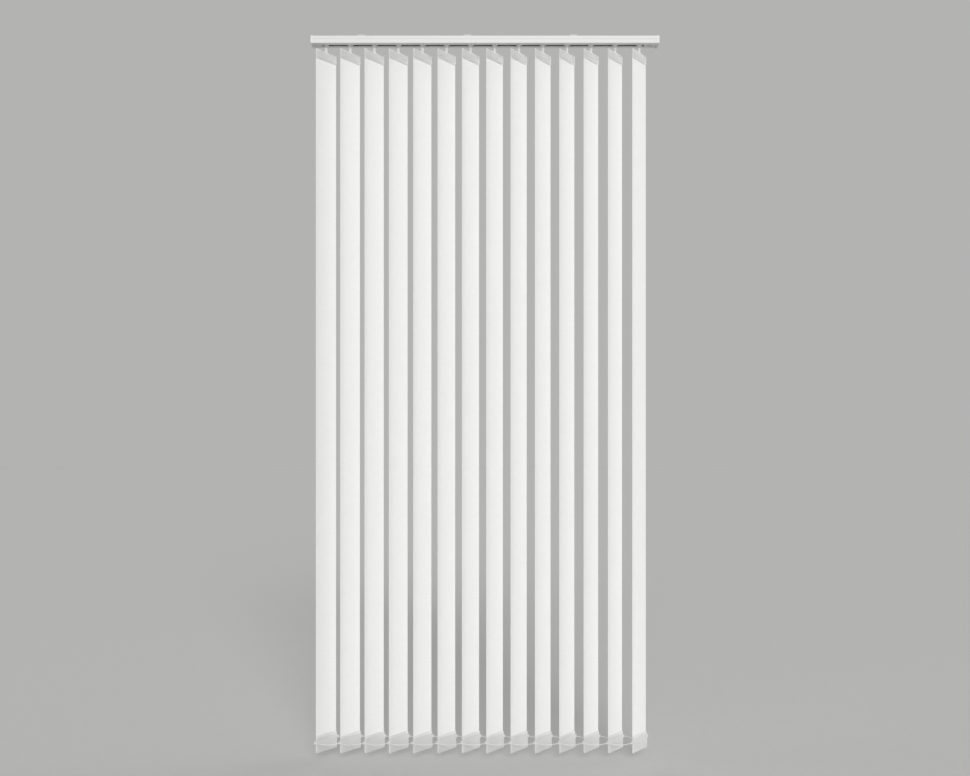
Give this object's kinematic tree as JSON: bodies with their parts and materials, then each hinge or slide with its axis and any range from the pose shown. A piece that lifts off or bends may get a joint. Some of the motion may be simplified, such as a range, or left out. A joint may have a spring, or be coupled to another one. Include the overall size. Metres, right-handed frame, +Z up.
{
  "type": "vertical blind",
  "caption": "Vertical blind: slotted headrail on top-fix brackets, with a row of tilting, sliding fabric vanes that bottom weights and bead chains hold in line.",
  "frame": {"origin": "centre of the middle bracket's screw hole, on the plane that the brackets are fixed to", "axes": "+X along the rail to the control end, +Y to the window side, +Z up"},
  "size_m": [1.123, 0.0873, 2.3124],
  "materials": {
    "rail_paint": "satin white",
    "cap_plastic": "smooth",
    "drive_plastic": "moulded",
    "bracket_steel": "zinc plated",
    "rod_aluminium": "drawn",
    "carrier_plastic": "moulded",
    "vane_fabric": "stiffened weave",
    "fitting_plastic": "smooth",
    "chain_plastic": "smooth"
  },
  "bodies": {
    "rail": {"headrail": "rail_paint", "idle_end_cap": "cap_plastic", "control_end_cap": "cap_plastic", "control_unit": "drive_plastic", "bracket_left": "bracket_steel", "bracket_middle": "bracket_steel", "bracket_right": "bracket_steel", "carrier_01": "carrier_plastic"},
    "tilt_drive": {"tilt_rod": "rod_aluminium", "tilt_sprocket": "drive_plastic"},
    "cord_pulley_front": {"cord_pulley_front": "drive_plastic"},
    "cord_pulley_rear": {"cord_pulley_rear": "drive_plastic"},
    "return_pulley": {"return_pulley": "drive_plastic"},
    "carrier_02": {"carrier_02": "carrier_plastic"},
    "carrier_03": {"carrier_03": "carrier_plastic"},
    "carrier_04": {"carrier_04": "carrier_plastic"},
    "carrier_05": {"carrier_05": "carrier_plastic"},
    "carrier_06": {"carrier_06": "carrier_plastic"},
    "carrier_07": {"carrier_07": "carrier_plastic"},
    "carrier_08": {"carrier_08": "carrier_plastic"},
    "carrier_09": {"carrier_09": "carrier_plastic"},
    "carrier_10": {"carrier_10": "carrier_plastic"},
    "carrier_11": {"carrier_11": "carrier_plastic"},
    "carrier_12": {"carrier_12": "carrier_plastic"},
    "carrier_13": {"carrier_13": "carrier_plastic"},
    "carrier_14": {"carrier_14": "carrier_plastic"},
    "vane_01": {"vane_01": "vane_fabric", "vane_fittings_01": "fitting_plastic"},
    "vane_02": {"vane_02": "vane_fabric", "vane_fittings_02": "fitting_plastic"},
    "vane_03": {"vane_03": "vane_fabric", "vane_fittings_03": "fitting_plastic"},
    "vane_04": {"vane_04": "vane_fabric", "vane_fittings_04": "fitting_plastic"},
    "vane_05": {"vane_05": "vane_fabric", "vane_fittings_05": "fitting_plastic"},
    "vane_06": {"vane_06": "vane_fabric", "vane_fittings_06": "fitting_plastic"},
    "vane_07": {"vane_07": "vane_fabric", "vane_fittings_07": "fitting_plastic"},
    "vane_08": {"vane_08": "vane_fabric", "vane_fittings_08": "fitting_plastic"},
    "vane_09": {"vane_09": "vane_fabric", "vane_fittings_09": "fitting_plastic"},
    "vane_10": {"vane_10": "vane_fabric", "vane_fittings_10": "fitting_plastic"},
    "vane_11": {"vane_11": "vane_fabric", "vane_fittings_11": "fitting_plastic"},
    "vane_12": {"vane_12": "vane_fabric", "vane_fittings_12": "fitting_plastic"},
    "vane_13": {"vane_13": "vane_fabric", "vane_fittings_13": "fitting_plastic"},
    "vane_14": {"vane_14": "vane_fabric", "vane_fittings_14": "fitting_plastic"},
    "front_chain": {"front_chain": "chain_plastic"},
    "rear_chain": {"rear_chain": "chain_plastic"}
  },
  "joints": [
    {"name": "traverse", "type": "slide", "parent": "rail", "child": "carrier_14", "axis": [-1, 0, 0], "range_m": [0, 0.754], "deforming": ["front_chain", "rear_chain"]},
    {"name": "traverse_02", "type": "slide", "parent": "rail", "child": "carrier_02", "axis": [-1, 0, 0], "range_m": [0, 0.059]},
    {"name": "traverse_03", "type": "slide", "parent": "rail", "child": "carrier_03", "axis": [-1, 0, 0], "range_m": [0, 0.117]},
    {"name": "traverse_04", "type": "slide", "parent": "rail", "child": "carrier_04", "axis": [-1, 0, 0], "range_m": [0, 0.175]},
    {"name": "traverse_05", "type": "slide", "parent": "rail", "child": "carrier_05", "axis": [-1, 0, 0], "range_m": [0, 0.233]},
    {"name": "traverse_06", "type": "slide", "parent": "rail", "child": "carrier_06", "axis": [-1, 0, 0], "range_m": [0, 0.291]},
    {"name": "traverse_07", "type": "slide", "parent": "rail", "child": "carrier_07", "axis": [-1, 0, 0], "range_m": [0, 0.349]},
    {"name": "traverse_08", "type": "slide", "parent": "rail", "child": "carrier_08", "axis": [-1, 0, 0], "range_m": [0, 0.407]},
    {"name": "traverse_09", "type": "slide", "parent": "rail", "child": "carrier_09", "axis": [-1, 0, 0], "range_m": [0, 0.465]},
    {"name": "traverse_10", "type": "slide", "parent": "rail", "child": "carrier_10", "axis": [-1, 0, 0], "range_m": [0, 0.523]},
    {"name": "traverse_11", "type": "slide", "parent": "rail", "child": "carrier_11", "axis": [-1, 0, 0], "range_m": [0, 0.581]},
    {"name": "traverse_12", "type": "slide", "parent": "rail", "child": "carrier_12", "axis": [-1, 0, 0], "range_m": [0, 0.639]},
    {"name": "traverse_13", "type": "slide", "parent": "rail", "child": "carrier_13", "axis": [-1, 0, 0], "range_m": [0, 0.697]},
    {"name": "tilt", "type": "hinge", "parent": "rail", "child": "vane_01", "pos_m": [-0.457, 0, -0.031], "axis": [0, 0, 1], "range_deg": [-37.5, 112.5]},
    {"name": "tilt_02", "type": "hinge", "parent": "carrier_02", "child": "vane_02", "pos_m": [-0.379, 0, -0.031], "axis": [0, 0, 1], "range_deg": [-37.5, 112.5]},
    {"name": "tilt_03", "type": "hinge", "parent": "carrier_03", "child": "vane_03", "pos_m": [-0.301, 0, -0.031], "axis": [0, 0, 1], "range_deg": [-37.5, 112.5]},
    {"name": "tilt_04", "type": "hinge", "parent": "carrier_04", "child": "vane_04", "pos_m": [-0.223, 0, -0.031], "axis": [0, 0, 1], "range_deg": [-37.5, 112.5]},
    {"name": "tilt_05", "type": "hinge", "parent": "carrier_05", "child": "vane_05", "pos_m": [-0.145, 0, -0.031], "axis": [0, 0, 1], "range_deg": [-37.5, 112.5]},
    {"name": "tilt_06", "type": "hinge", "parent": "carrier_06", "child": "vane_06", "pos_m": [-0.067, 0, -0.031], "axis": [0, 0, 1], "range_deg": [-37.5, 112.5]},
    {"name": "tilt_07", "type": "hinge", "parent": "carrier_07", "child": "vane_07", "pos_m": [0.011, 0, -0.031], "axis": [0, 0, 1], "range_deg": [-37.5, 112.5]},
    {"name": "tilt_08", "type": "hinge", "parent": "carrier_08", "child": "vane_08", "pos_m": [0.089, 0, -0.031], "axis": [0, 0, 1], "range_deg": [-37.5, 112.5]},
    {"name": "tilt_09", "type": "hinge", "parent": "carrier_09", "child": "vane_09", "pos_m": [0.167, 0, -0.031], "axis": [0, 0, 1], "range_deg": [-37.5, 112.5]},
    {"name": "tilt_10", "type": "hinge", "parent": "carrier_10", "child": "vane_10", "pos_m": [0.245, 0, -0.031], "axis": [0, 0, 1], "range_deg": [-37.5, 112.5]},
    {"name": "tilt_11", "type": "hinge", "parent": "carrier_11", "child": "vane_11", "pos_m": [0.323, 0, -0.031], "axis": [0, 0, 1], "range_deg": [-37.5, 112.5]},
    {"name": "tilt_12", "type": "hinge", "parent": "carrier_12", "child": "vane_12", "pos_m": [0.401, 0, -0.031], "axis": [0, 0, 1], "range_deg": [-37.5, 112.5]},
    {"name": "tilt_13", "type": "hinge", "parent": "carrier_13", "child": "vane_13", "pos_m": [0.479, 0, -0.031], "axis": [0, 0, 1], "range_deg": [-37.5, 112.5]},
    {"name": "tilt_14", "type": "hinge", "parent": "carrier_14", "child": "vane_14", "pos_m": [0.557, 0, -0.031], "axis": [0, 0, 1], "range_deg": [-37.5, 112.5]},
    {"name": "rod_turn", "type": "hinge", "parent": "rail", "child": "tilt_drive", "pos_m": [0, 0.0096, -0.01805], "axis": [1, 0, 0], "range_deg": [-675, 2025]},
    {"name": "front_chain_turn", "type": "hinge", "parent": "vane_01", "child": "front_chain", "pos_m": [-0.48786, -0.04186, -2.279], "axis": [0, 0, 1], "range_deg": [-112.5, 37.5]},
    {"name": "rear_chain_turn", "type": "hinge", "parent": "vane_01", "child": "rear_chain", "pos_m": [-0.42455, 0.04065, -2.279], "axis": [0, 0, 1], "range_deg": [-112.5, 37.5]},
    {"name": "cord_pulley_front_turn", "type": "hinge", "parent": "rail", "child": "cord_pulley_front", "pos_m": [0.592, -0.0035, -0.0167], "axis": [0, 1, 0], "range_deg": [0, 9610]},
    {"name": "cord_pulley_rear_turn", "type": "hinge", "parent": "rail", "child": "cord_pulley_rear", "pos_m": [0.592, 0.0005, -0.0167], "axis": [0, 1, 0], "range_deg": [-9610, 0]},
    {"name": "return_pulley_turn", "type": "hinge", "parent": "rail", "child": "return_pulley", "pos_m": [-0.4805, -0.0015, -0.0125], "axis": [0, 0, 1], "range_deg": [0, 9610]}
  ],
  "couplings": [
    {"joint": "traverse_02", "follows": "traverse", "ratio": 0.076923},
    {"joint": "traverse_03", "follows": "traverse", "ratio": 0.15385},
    {"joint": "traverse_04", "follows": "traverse", "ratio": 0.23077},
    {"joint": "traverse_05", "follows": "traverse", "ratio": 0.30769},
    {"joint": "traverse_06", "follows": "traverse", "ratio": 0.38462},
    {"joint": "traverse_07", "follows": "traverse", "ratio": 0.46154},
    {"joint": "traverse_08", "follows": "traverse", "ratio": 0.53846},
    {"joint": "traverse_09", "follows": "traverse", "ratio": 0.61538},
    {"joint": "traverse_10", "follows": "traverse", "ratio": 0.69231},
    {"joint": "traverse_11", "follows": "traverse", "ratio": 0.76923},
    {"joint": "traverse_12", "follows": "traverse", "ratio": 0.84615},
    {"joint": "traverse_13", "follows": "traverse", "ratio": 0.92308},
    {"joint": "tilt_02", "follows": "tilt", "ratio": 1},
    {"joint": "tilt_03", "follows": "tilt", "ratio": 1},
    {"joint": "tilt_04", "follows": "tilt", "ratio": 1},
    {"joint": "tilt_05", "follows": "tilt", "ratio": 1},
    {"joint": "tilt_06", "follows": "tilt", "ratio": 1},
    {"joint": "tilt_07", "follows": "tilt", "ratio": 1},
    {"joint": "tilt_08", "follows": "tilt", "ratio": 1},
    {"joint": "tilt_09", "follows": "tilt", "ratio": 1},
    {"joint": "tilt_10", "follows": "tilt", "ratio": 1},
    {"joint": "tilt_11", "follows": "tilt", "ratio": 1},
    {"joint": "tilt_12", "follows": "tilt", "ratio": 1},
    {"joint": "tilt_13", "follows": "tilt", "ratio": 1},
    {"joint": "tilt_14", "follows": "tilt", "ratio": 1},
    {"joint": "rod_turn", "follows": "tilt", "ratio": 18},
    {"joint": "front_chain_turn", "follows": "tilt", "ratio": -1},
    {"joint": "rear_chain_turn", "follows": "tilt", "ratio": -1},
    {"joint": "cord_pulley_front_turn", "follows": "traverse", "rad_per_m": 222.22},
    {"joint": "cord_pulley_rear_turn", "follows": "traverse", "rad_per_m": -222.22},
    {"joint": "return_pulley_turn", "follows": "traverse", "rad_per_m": 222.22}
  ]
}
